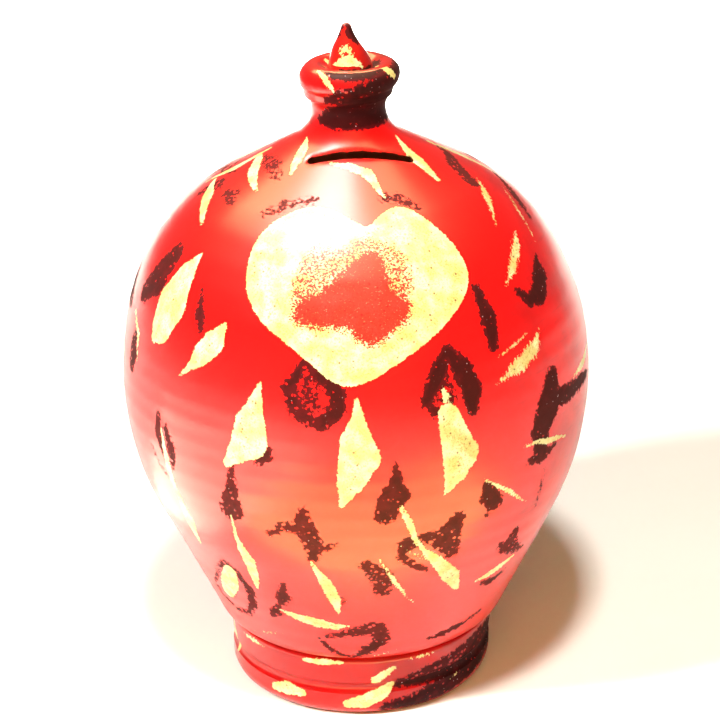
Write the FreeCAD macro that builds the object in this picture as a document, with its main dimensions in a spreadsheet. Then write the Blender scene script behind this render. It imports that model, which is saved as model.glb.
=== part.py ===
import FreeCAD, Part
import Sketcher
import math
import os
import re

# A closed clay money pot, 185 mm tall: a foot ring, a bowl, a dome with the coin slot, and a knob in two
# pieces. Every piece is turned about +Z, which runs up the middle of the pot. The origin is where that
# axis meets the surface the pot stands on, and the slot is at the front, on the -Y side.

DIMENSIONS = {
    # whole pot
    "wall": 6.0,
    "belly_radius": 63.1,
    "belly_height": 89.0,
    # foot ring: a resting face, a rounded lower roll, a scored groove and an upper band
    "bore_radius": 27.2,
    "bore_bevel": 1.2,
    "recess_height": 8.0,
    "rest_outer_radius": 33.2,
    "roll_radius": 36.3,
    "roll_height": 4.8,
    "roll_curve": 4.6,
    "groove_height": 9.0,
    "groove_half_width": 1.7,
    "groove_curve": 2.2,
    "band_radius": 36.9,
    "band_height": 16.6,
    "band_curve": 1.6,
    "crease_radius": 36.2,
    "crease_height": 18.4,
    # bowl: a heel that turns in to the foot, and a straight lower wall that curves up to the belly
    "heel_radius": 40.4,
    "heel_height": 22.6,
    "heel_curve": 9.0,
    "flank_radius": 54.3,
    "flank_height": 52.0,
    "flank_curve": 80.0,
    "floor_radius": 27.0,
    "inner_heel_curve": 8.0,
    "inner_heel_radius": 33.6,
    "inner_heel_height": 21.0,
    # dome: a wide curve, a tighter curve, a straight shoulder and a flare into the neck
    "shoulder_radius": 55.5,
    "shoulder_height": 121.9,
    "shoulder_curve": 75.0,
    "crown_radius": 35.2,
    "crown_height": 143.3,
    "crown_curve": 56.0,
    "flare_radius": 14.9,
    "flare_height": 154.3,
    "flare_curve": 10.0,
    "neck_seam_radius": 10.5,
    "neck_seam_height": 159.0,
    "roof_radius": 7.5,
    "roof_height": 152.6,
    # how far the wall's inner face stands in from, above or below a corner outside, in wall thicknesses
    "flank_inset": 0.88,
    "flank_rise": 0.47,
    "shoulder_inset": 0.90,
    "shoulder_drop": 0.44,
    "crown_inset": 0.48,
    "crown_drop": 0.875,
    # coin slot, cut across the front of the dome square to the wall, so the cut leans from the vertical
    "slot_length": 27.6,
    "slot_width": 2.5,
    "slot_offset": 2.0,
    "slot_front": 14.9,
    "slot_height": 154.4,
    "slot_lean": 38.0,
    "slot_reach": 14.0,
    # knob: a waisted neck that swells into a rounded rim with a shallow dish on top
    "neck_radius": 9.7,
    "neck_height": 163.0,
    "collar_radius": 11.5,
    "collar_height": 166.3,
    "collar_curve": 5.0,
    "rim_low_radius": 12.1,
    "rim_low_height": 168.4,
    "rim_top_radius": 8.3,
    "rim_top_height": 174.6,
    "rim_curve": 3.75,
    "dish_radius": 5.9,
    "dish_height": 173.3,
    # finial: an onion point that stands in the dish
    "point_radius": 3.1,
    "point_height": 180.0,
    "swell_curve": 22.0,
    "tip_radius": 1.4,
    "tip_height": 183.9,
    "tip_curve": 1.3,
    "tip_flat_radius": 0.4,
    "waisted_curve": 20.0,
    "total_height": 185.0,
}

doc = FreeCAD.newDocument("money_pot")
sheet = doc.addObject("Spreadsheet::Sheet", "dims")
for row, (alias, value) in enumerate(DIMENSIONS.items(), start=1):
    sheet.set(f"A{row}", alias)
    sheet.set(f"B{row}", str(value))
    sheet.setAlias(f"B{row}", alias)
doc.recompute()


def expression(formula):
    """A formula in the sheet's aliases, written so that other objects can use it."""
    return re.sub(r"[a-z][a-z_]*", r"dims.\g<0>", formula)


def value(formula):
    """What such a formula comes to, as a plain number."""
    return float(sheet.evalExpression(formula))


def origin_plane(body, role):
    """One of a body's own base planes, by its role."""
    return next(f for f in body.Origin.OriginFeatures if f.Role == role)


def add_sketch(body, name, role):
    """An empty sketch on one of the body's base planes."""
    sketch = body.newObject("Sketcher::SketchObject", name)
    sketch.AttachmentSupport = [(origin_plane(body, role), "")]
    sketch.MapMode = "FlatFace"
    return sketch


def name_constraint(sketch, constraint, name, formula):
    """Adds a constraint and binds its size to the sheet."""
    index = sketch.addConstraint(constraint)
    sketch.renameConstraint(index, name)
    sketch.setExpression(f"Constraints.{name}", expression(formula))


def arc_through(start, end, radius, side):
    """The shorter arc from start to end. Its centre is on the left of the way for side 1, else the right."""
    chord = end - start
    across = FreeCAD.Vector(-chord.y, chord.x, 0).normalize()
    rise = math.sqrt(radius**2 - (chord.Length / 2) ** 2)
    centre = (start + end) / 2 + across * (side * rise)
    middle = centre - across * (side * radius)
    return Part.Arc(start, middle, end)


def add_edge(sketch, corners, curves, index):
    """Draws the edge that leaves one corner and says which of its ends is the start."""
    start = corners[index]
    end = corners[(index + 1) % len(corners)]
    if index not in curves:
        sketch.addGeometry(Part.LineSegment(start, end))
        return 1, 2
    formula, side = curves[index]
    sketch.addGeometry(arc_through(start, end, value(formula), side))
    radius = Sketcher.Constraint("Radius", index, value(formula))
    name_constraint(sketch, radius, f"curve_{index}", formula)
    # a sketch's arc runs anticlockwise about its centre, so one with its centre on the right is reversed
    return (1, 2) if side > 0 else (2, 1)


def draw_outline(sketch, outline):
    """Draws a closed half-section and binds every corner to the sheet.

    outline lists the corners as (radius, height) formulas, each followed, where the next edge is curved,
    by the curve's radius and side. A radius of "" is on the axis.
    """
    corners = [FreeCAD.Vector(value(c[0]) if c[0] else 0.0, value(c[1]), 0) for c in outline]
    curves = {i: (c[2], c[3]) for i, c in enumerate(outline) if len(c) == 4}
    ends = [add_edge(sketch, corners, curves, i) for i in range(len(corners))]
    for i, corner in enumerate(outline):
        start = ends[i][0]
        before = (i - 1) % len(outline)
        sketch.addConstraint(Sketcher.Constraint("Coincident", before, ends[before][1], i, start))
        height = Sketcher.Constraint("DistanceY", -1, 1, i, start, corners[i].y)
        name_constraint(sketch, height, f"height_{i}", corner[1])
        if corner[0]:
            radius = Sketcher.Constraint("DistanceX", -1, 1, i, start, corners[i].x)
            name_constraint(sketch, radius, f"radius_{i}", corner[0])
        else:
            sketch.addConstraint(Sketcher.Constraint("PointOnObject", i, start, -2))


def turned_body(name, outline):
    """A body turned once round +Z from its half-section."""
    body = doc.addObject("PartDesign::Body", name)
    body.Label = name
    sketch = add_sketch(body, f"{name}_section", "XZ_Plane")
    draw_outline(sketch, outline)
    turning = body.newObject("PartDesign::Revolution", f"{name}_turning")
    turning.Profile = sketch
    turning.ReferenceAxis = (sketch, ["V_Axis"])
    turning.Angle = 360.0
    sketch.Visibility = False
    doc.recompute()
    return body


def hollow_out(body, outline):
    """Turns a second half-section round +Z and takes it out of the body."""
    before = body.Shape.Volume
    sketch = add_sketch(body, f"{body.Name}_hollow_section", "XZ_Plane")
    draw_outline(sketch, outline)
    hollow = body.newObject("PartDesign::Groove", f"{body.Name}_hollow")
    hollow.Profile = sketch
    hollow.ReferenceAxis = (sketch, ["V_Axis"])
    hollow.Angle = 360.0
    sketch.Visibility = False
    doc.recompute()
    if body.Shape.Volume > before / 2:
        raise RuntimeError(f"{body.Label} isn't hollow")


def foot_ring():
    """The ring the pot stands on. Its sloping top face carries the bowl."""
    return turned_body("foot_ring", [
        ("bore_radius", "recess_height"),
        ("bore_radius", "bore_bevel"),
        ("bore_radius + bore_bevel", "0"),
        ("rest_outer_radius", "0", "roll_curve", 1),
        ("roll_radius", "roll_height"),
        ("roll_radius", "groove_height - groove_half_width", "groove_curve", -1),
        ("roll_radius", "groove_height + groove_half_width"),
        ("band_radius", "band_height", "band_curve", 1),
        ("crease_radius", "crease_height"),
    ])


def lower_bowl():
    """The lower half of the vessel, from its floor to the belly seam."""
    body = turned_body("lower_bowl", [
        ("", "recess_height"),
        ("bore_radius", "recess_height"),
        ("crease_radius", "crease_height", "heel_curve", 1),
        ("heel_radius", "heel_height"),
        ("flank_radius", "flank_height", "flank_curve", 1),
        ("belly_radius", "belly_height"),
        ("", "belly_height"),
    ])
    hollow_out(body, [
        ("", "recess_height + wall"),
        ("floor_radius", "recess_height + wall", "inner_heel_curve", 1),
        ("inner_heel_radius", "inner_heel_height"),
        ("flank_radius - wall * flank_inset", "flank_height + wall * flank_rise", "flank_curve - wall", 1),
        ("belly_radius - wall", "belly_height"),
        ("", "belly_height"),
    ])
    return body


def cut_slot(body):
    """Cuts the coin slot through the front of the dome, square to the wall, with round ends."""
    sketch = add_sketch(body, "slot_outline", "XY_Plane")
    lean = math.radians(value("slot_lean"))
    reach = value("slot_reach") / 2
    front = FreeCAD.Vector(
        value("slot_offset"),
        -value("slot_front") - reach * math.sin(lean),
        value("slot_height") + reach * math.cos(lean),
    )
    sketch.AttachmentOffset = FreeCAD.Placement(
        front, FreeCAD.Rotation(FreeCAD.Vector(1, 0, 0), value("slot_lean"))
    )
    half_width = value("slot_width") / 2
    half_run = value("slot_length") / 2 - half_width
    left, right = FreeCAD.Vector(-half_run, 0, 0), FreeCAD.Vector(half_run, 0, 0)
    up = FreeCAD.Vector(0, half_width, 0)
    out = FreeCAD.Vector(half_width, 0, 0)
    sketch.addGeometry([
        Part.LineSegment(left - up, right - up),
        Part.Arc(right - up, right + out, right + up),
        Part.LineSegment(right + up, left + up),
        Part.Arc(left + up, left - out, left - up),
    ])
    for first, second in ((0, 1), (1, 2), (2, 3), (3, 0)):
        sketch.addConstraint(Sketcher.Constraint("Tangent", first, 2, second, 1))
    sketch.addConstraint(Sketcher.Constraint("Symmetric", 1, 3, 3, 3, -1, 1))
    sketch.addConstraint(Sketcher.Constraint("Horizontal", 0))
    name_constraint(sketch, Sketcher.Constraint("Radius", 1, half_width), "end_radius", "slot_width / 2")
    run = Sketcher.Constraint("DistanceX", 3, 3, 1, 3, 2 * half_run)
    name_constraint(sketch, run, "slot_run", "slot_length - slot_width")
    pocket = body.newObject("PartDesign::Pocket", "coin_slot")
    pocket.Profile = sketch
    pocket.Type = "Length"
    pocket.setExpression("Length", expression("slot_reach * 2"))
    before = body.Shape.Volume
    sketch.Visibility = False
    doc.recompute()
    if body.Shape.Volume > before - value("slot_length * slot_width * wall / 2"):
        raise RuntimeError("the coin slot isn't cut through the wall")


def shoulder_dome():
    """The upper half of the vessel, from the belly seam to the foot of the neck, with the coin slot."""
    body = turned_body("shoulder_dome", [
        ("", "belly_height"),
        ("belly_radius", "belly_height", "shoulder_curve", 1),
        ("shoulder_radius", "shoulder_height", "crown_curve", 1),
        ("crown_radius", "crown_height"),
        ("flare_radius", "flare_height", "flare_curve", -1),
        ("neck_seam_radius", "neck_seam_height"),
        ("", "neck_seam_height"),
    ])
    hollow_out(body, [
        ("", "belly_height"),
        ("belly_radius - wall", "belly_height", "shoulder_curve - wall", 1),
        ("shoulder_radius - wall * shoulder_inset", "shoulder_height - wall * shoulder_drop",
         "crown_curve - wall", 1),
        ("crown_radius - wall * crown_inset", "crown_height - wall * crown_drop"),
        ("flare_radius - wall * crown_inset", "flare_height - wall * crown_drop",
         "flare_curve + wall", -1),
        ("roof_radius", "roof_height"),
        ("", "roof_height"),
    ])
    cut_slot(body)
    return body


def knob_neck():
    """The solid neck and its rounded rim, with a shallow dish on top for the finial."""
    return turned_body("knob_neck", [
        ("", "neck_seam_height"),
        ("neck_seam_radius", "neck_seam_height", "flare_curve", -1),
        ("neck_radius", "neck_height", "collar_curve", -1),
        ("collar_radius", "collar_height"),
        ("rim_low_radius", "rim_low_height", "rim_curve", 1),
        ("rim_top_radius", "rim_top_height"),
        ("dish_radius", "dish_height"),
        ("", "dish_height"),
    ])


def knob_finial():
    """The pointed top of the knob."""
    return turned_body("knob_finial", [
        ("", "dish_height"),
        ("dish_radius", "dish_height", "swell_curve", 1),
        ("point_radius", "point_height", "waisted_curve", -1),
        ("tip_radius", "tip_height", "tip_curve", 1),
        ("tip_flat_radius", "total_height"),
        ("", "total_height"),
    ])


def check_document(bodies):
    """Stops if any feature failed or any piece isn't one valid closed solid."""
    failed = [o.Name for o in doc.Objects if {"Invalid", "Error"} & set(o.State)]
    if failed:
        raise RuntimeError(f"failed features: {failed}")
    for body in bodies:
        shape = body.Shape
        if shape.isNull() or not shape.isValid() or len(shape.Solids) != 1:
            raise RuntimeError(f"{body.Label} isn't one valid solid")


pieces = [foot_ring(), lower_bowl(), shoulder_dome(), knob_neck(), knob_finial()]
doc.recompute()
check_document(pieces)
os.makedirs("parts", exist_ok=True)
for piece in pieces:
    piece.Shape.exportStep(f"parts/{piece.Label}.step")
    box = piece.Shape.BoundBox
    print(f"{piece.Label}: {piece.Shape.Volume / 1000:.1f} cm3, z {box.ZMin:.2f} to {box.ZMax:.2f} mm")
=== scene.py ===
import math
import random

import bmesh
import bpy
import numpy as np
from mathutils import Matrix, Vector


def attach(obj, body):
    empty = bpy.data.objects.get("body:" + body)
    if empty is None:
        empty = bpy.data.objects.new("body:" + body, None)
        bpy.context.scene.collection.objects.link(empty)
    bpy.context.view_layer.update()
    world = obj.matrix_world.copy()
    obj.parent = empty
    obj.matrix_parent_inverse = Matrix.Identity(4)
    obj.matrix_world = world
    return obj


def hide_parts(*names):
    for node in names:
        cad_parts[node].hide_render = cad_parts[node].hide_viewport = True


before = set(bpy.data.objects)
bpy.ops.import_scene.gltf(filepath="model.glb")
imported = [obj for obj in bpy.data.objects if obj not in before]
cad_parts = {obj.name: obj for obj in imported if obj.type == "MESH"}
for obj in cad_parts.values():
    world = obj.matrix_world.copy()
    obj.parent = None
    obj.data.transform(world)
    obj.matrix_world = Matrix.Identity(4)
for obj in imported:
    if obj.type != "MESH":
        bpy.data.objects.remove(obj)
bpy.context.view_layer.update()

# A hand-thrown clay money pot, painted red with sponged black and gold marks and thickly varnished.
# Shapes are worked out in millimetres about the pot's axis and turned into metres as meshes are made.
# A place on the pot is an azimuth in degrees, 0 at the front and positive to the right, and a height.

MM = 0.001
SEGMENTS = 480
# spacing of the points along an outline, in mm
FINER = 0.4
FINE = 0.8
COARSE = 3.0
CRISP_ANGLE = math.radians(38)


# ---------------------------------------------------------------- outlines


def curve(start, end, radius, side, spacing):
    """Points along the shorter arc from start up to end, with its centre on the left for side 1."""
    start, end = np.array(start, float), np.array(end, float)
    chord = end - start
    length = np.hypot(*chord)
    across = np.array([-chord[1], chord[0]]) / length
    centre = (start + end) / 2 + across * side * math.sqrt(radius**2 - length**2 / 4)
    turn = 2 * math.asin(length / 2 / radius) * side
    steps = max(2, round(abs(turn) * radius / spacing))
    first = start - centre
    points = []
    for i in range(steps):
        angle = turn * i / steps
        x = first[0] * math.cos(angle) - first[1] * math.sin(angle)
        y = first[0] * math.sin(angle) + first[1] * math.cos(angle)
        points.append((centre[0] + x, centre[1] + y))
    return points


def trace(outline, spacing):
    """Points along an open outline of (radius, height) corners, some followed by a curve and its side."""
    points = []
    for here, after in zip(outline, outline[1:]):
        if len(here) == 4:
            points += curve(here[:2], after[:2], here[2], here[3], spacing)
            continue
        steps = max(1, round(math.dist(here[:2], after[:2]) / spacing))
        for i in range(steps):
            share = i / steps
            points.append((
                here[0] + (after[0] - here[0]) * share,
                here[1] + (after[1] - here[1]) * share,
            ))
    return points + [outline[-1][:2]]


BELLY = (63.1, 89.0)
INNER_BELLY = (57.1, 89.0)
SEAM_HEIGHT = 159.0
NECK_SEAM = (10.5, SEAM_HEIGHT)
CREASE = (36.2, 18.4)
DISH_HEIGHT = 173.3
DISH = (5.9, DISH_HEIGHT)
DISH_RIM = (8.3, 174.6)
RECESS_RADIUS = 27.2
RECESS_HEIGHT = 8.0
TOTAL_HEIGHT = 185.0

FOOT_OUTSIDE = [
    (33.2, 0.0, 4.6, 1), (36.3, 4.8), (36.3, 7.3, 2.2, -1), (36.3, 10.7), (36.9, 16.6, 1.6, 1), CREASE,
]
FOOT_INSIDE = [
    CREASE, (RECESS_RADIUS, RECESS_HEIGHT), (RECESS_RADIUS, 1.2), (28.4, 0.0), (33.2, 0.0),
]
BOWL_OUTSIDE = [(*CREASE, 9.0, 1), (40.4, 22.6), (54.3, 52.0, 80.0, 1), BELLY]
BOWL_UNDERSIDE = [(0.0, RECESS_HEIGHT), (RECESS_RADIUS, RECESS_HEIGHT), CREASE]
BOWL_INSIDE = [
    BELLY, (*INNER_BELLY, 74.0, -1), (49.0, 54.8), (33.6, 21.0, 8.0, -1), (27.0, 14.0), (0.0, 14.0),
]
DOME_OUTSIDE = [
    (*BELLY, 75.0, 1), (55.5, 121.9, 56.0, 1), (35.2, 143.3), (14.9, 154.3, 10.0, -1), NECK_SEAM,
]
DOME_TOP = [NECK_SEAM, (0.0, SEAM_HEIGHT)]
DOME_INSIDE = [
    (0.0, 152.6), (7.5, 152.6, 16.0, 1), (12.0, 149.0), (32.3, 138.0, 50.0, -1), (50.1, 119.3, 69.0, -1),
    INNER_BELLY, BELLY,
]
NECK_OUTSIDE = [
    (*NECK_SEAM, 10.0, -1), (9.7, 163.0, 5.0, -1), (11.5, 166.3), (12.1, 168.4, 3.75, 1), DISH_RIM,
]
NECK_DISH = [DISH_RIM, DISH, (0.0, DISH_HEIGHT)]
FINIAL_OUTSIDE = [
    (*DISH, 22.0, 1), (3.1, 180.0, 20.0, -1), (1.4, 183.9, 1.3, 1),
    (0.4, TOTAL_HEIGHT), (0.0, TOTAL_HEIGHT),
]
FINIAL_SEAT = [(0.0, DISH_HEIGHT), DISH]

BODY_OUTSIDE = (
    trace(FOOT_OUTSIDE, FINE) + trace(BOWL_OUTSIDE, FINE)[1:]
    + trace(DOME_OUTSIDE, FINE)[1:] + trace(NECK_OUTSIDE, FINE)[1:]
)
BODY_OUTSIDE += [corner for corner in trace(FINIAL_OUTSIDE, FINE) if corner[1] > BODY_OUTSIDE[-1][1] + 0.2]
OUTSIDE_RADII, OUTSIDE_HEIGHTS = np.array(BODY_OUTSIDE).T
OUTSIDE_RUN = np.concatenate([[0], np.cumsum(np.hypot(np.diff(OUTSIDE_RADII), np.diff(OUTSIDE_HEIGHTS)))])


# ---------------------------------------------------------------- the potter's hand

# slow sideways drift of the wall: centre height, half height and shift, in mm
DRIFTS = [(0.0, 16.0, -0.6), (47.0, 16.0, 0.5), (121.0, 12.0, -0.5), (174.0, 4.0, 0.8)]


def wander(azimuth, height, radius):
    """How far the wall stands out from its turned shape, in mm, at an azimuth in radians."""
    oval = 0.28 * np.sin(2 * azimuth + 1.1 + height / 45) + 0.16 * np.sin(3 * azimuth - height / 30)
    rings = 0.025 * np.sin(height * 1.15 + 0.8 * np.sin(azimuth)) * (1 + np.sin(height / 9 + 2 * azimuth))
    lumps = 0.10 * np.sin(7 * azimuth + height / 6) * np.sin(height / 8 - 5 * azimuth)
    return (oval + rings + lumps) * np.clip(radius / BELLY[0], 0, 1)


def drift(height):
    """How far the wall stands to the right of the axis at a height, in mm."""
    return sum(shift * np.exp(-(((height - middle) / half) ** 2)) for middle, half, shift in DRIFTS)


def hand_made(points):
    """Moves points off the perfect turned shape, by up to about a millimetre and never up or down."""
    x, y, z = points.T
    radius = np.hypot(x, y)
    grown = 1 + wander(np.arctan2(x, -y), z, radius) / np.maximum(radius, 1.0)
    return np.column_stack([x * grown + drift(z), y * grown, z])


def lathe(name, section):
    """A mesh turned round the axis from a section. Corners on the axis become single points."""
    angles = np.linspace(0, 2 * math.pi, SEGMENTS, endpoint=False)
    around = np.column_stack([np.sin(angles), -np.cos(angles)])
    rows, vertices = [], []
    for radius, height in section:
        start = len(vertices)
        if radius < 1e-6:
            vertices.append((0.0, 0.0, height))
            rows.append([start] * SEGMENTS)
            continue
        vertices += [(radius * x, radius * y, height) for x, y in around]
        rows.append(list(range(start, start + SEGMENTS)))
    if section[0][0] > 0:
        rows.append(rows[0])
    faces = []
    for low, high in zip(rows, rows[1:]):
        for i in range(SEGMENTS):
            j = (i + 1) % SEGMENTS
            corners = [low[i], low[j], high[j], high[i]]
            faces.append([c for k, c in enumerate(corners) if c not in corners[:k]])
    moved = hand_made(np.array(vertices))
    mesh = bpy.data.meshes.new(name)
    mesh.from_pydata((moved * MM).tolist(), [], faces)
    mesh.validate()
    obj = bpy.data.objects.new(name, mesh)
    bpy.context.scene.collection.objects.link(obj)
    tidy_faces(obj)
    return obj


def tidy_faces(obj):
    """Turns every face outward, shades the mesh smooth and keeps its real corners crisp."""
    work = bmesh.new()
    work.from_mesh(obj.data)
    bmesh.ops.recalc_face_normals(work, faces=work.faces)
    work.to_mesh(obj.data)
    work.free()
    obj.data.polygons.foreach_set("use_smooth", [True] * len(obj.data.polygons))
    obj.data.set_sharp_from_angle(angle=CRISP_ANGLE)


def places(obj):
    """Azimuth in degrees, height and radius in mm of every vertex, as on the perfect turned shape."""
    flat = np.empty(len(obj.data.vertices) * 3)
    obj.data.vertices.foreach_get("co", flat)
    x, y, z = flat.reshape(-1, 3).T / MM
    x = x - drift(z)
    azimuth = np.arctan2(x, -y)
    radius = np.hypot(x, y)
    return np.degrees(azimuth), z, radius - wander(azimuth, z, radius)


# ---------------------------------------------------------------- coin slot

SLOT_LENGTH = 27.6
SLOT_WIDTH = 2.5
SLOT_OFFSET = 2.0
SLOT_FRONT = 14.9
SLOT_HEIGHT = 154.4
SLOT_LEAN = math.radians(38.0)
SLOT_REACH = 14.0
SLOT_LIP = 1.3
SLOT_LIP_DEPTH = 0.42
SLOT_LIP_REACH = 4
EDGE_STEPS = 14
END_STEPS = 10


def slot_frame():
    """The slot's own axes: along it, across it, and out of the wall."""
    along = np.array([1.0, 0.0, 0.0])
    out = np.array([0.0, -math.sin(SLOT_LEAN), math.cos(SLOT_LEAN)])
    return np.array([SLOT_OFFSET, -SLOT_FRONT, SLOT_HEIGHT]), along, np.cross(out, along), out


def soften_slot(obj):
    """Presses the wall in a little round the slot, as a wet finger leaves it."""
    centre, along, across, out = slot_frame()
    flat = np.empty(len(obj.data.vertices) * 3)
    obj.data.vertices.foreach_get("co", flat)
    points = flat.reshape(-1, 3) / MM
    offset = points - centre
    half_run = (SLOT_LENGTH - SLOT_WIDTH) / 2
    beyond = np.maximum(np.abs(offset @ along) - half_run, 0)
    gap = np.hypot(beyond, offset @ across) - SLOT_WIDTH / 2
    pressed = np.clip(1 - gap / SLOT_LIP, 0, 1.4) ** 2 * SLOT_LIP_DEPTH
    pressed *= np.abs(offset @ out) < SLOT_LIP_REACH
    obj.data.vertices.foreach_set("co", ((points - pressed[:, None] * out) * MM).ravel())


def cut_slot(obj):
    """Cuts the coin slot right through the wall, a little wavy along its edges."""
    centre, along, across, out = slot_frame()
    half_run = (SLOT_LENGTH - SLOT_WIDTH) / 2
    rim = []
    for side in (1, -1):
        for i in range(2 * EDGE_STEPS + 1):
            run = half_run * (1 - i / EDGE_STEPS) * side
            wave = 0.10 * math.sin(run * 0.9 + side) + 0.06 * math.sin(run * 2.3)
            rim.append((run, side * SLOT_WIDTH / 2 + wave))
        for i in range(1, END_STEPS):
            turn = math.pi / 2 + math.pi * i / END_STEPS
            x = math.cos(turn) * side * SLOT_WIDTH / 2 - half_run * side
            rim.append((x, math.sin(turn) * side * SLOT_WIDTH / 2))
    levels = [-SLOT_REACH, SLOT_REACH / 2]
    vertices = [centre + along * x + across * y + out * level for level in levels for x, y in rim]
    count = len(rim)
    faces = [[i, (i + 1) % count, (i + 1) % count + count, i + count] for i in range(count)]
    faces += [list(range(count)), list(range(count, 2 * count))]
    mesh = bpy.data.meshes.new("slot_cutter")
    mesh.from_pydata([(v * MM).tolist() for v in vertices], [], faces)
    cutter = bpy.data.objects.new("slot_cutter", mesh)
    bpy.context.scene.collection.objects.link(cutter)
    tidy_faces(cutter)
    cut = obj.modifiers.new("slot", "BOOLEAN")
    cut.operation = "DIFFERENCE"
    cut.solver = "EXACT"
    cut.object = cutter
    bpy.context.view_layer.objects.active = obj
    with bpy.context.temp_override(object=obj, active_object=obj, selected_objects=[obj]):
        bpy.ops.object.modifier_apply(modifier=cut.name)
    bpy.data.objects.remove(cutter, do_unlink=True)
    tidy_faces(obj)


# ---------------------------------------------------------------- brush and sponge marks, with some painted shade and a painted highlight

# Each mark is a strength and a run of (azimuth, height, half width in mm) along its middle.

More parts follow.
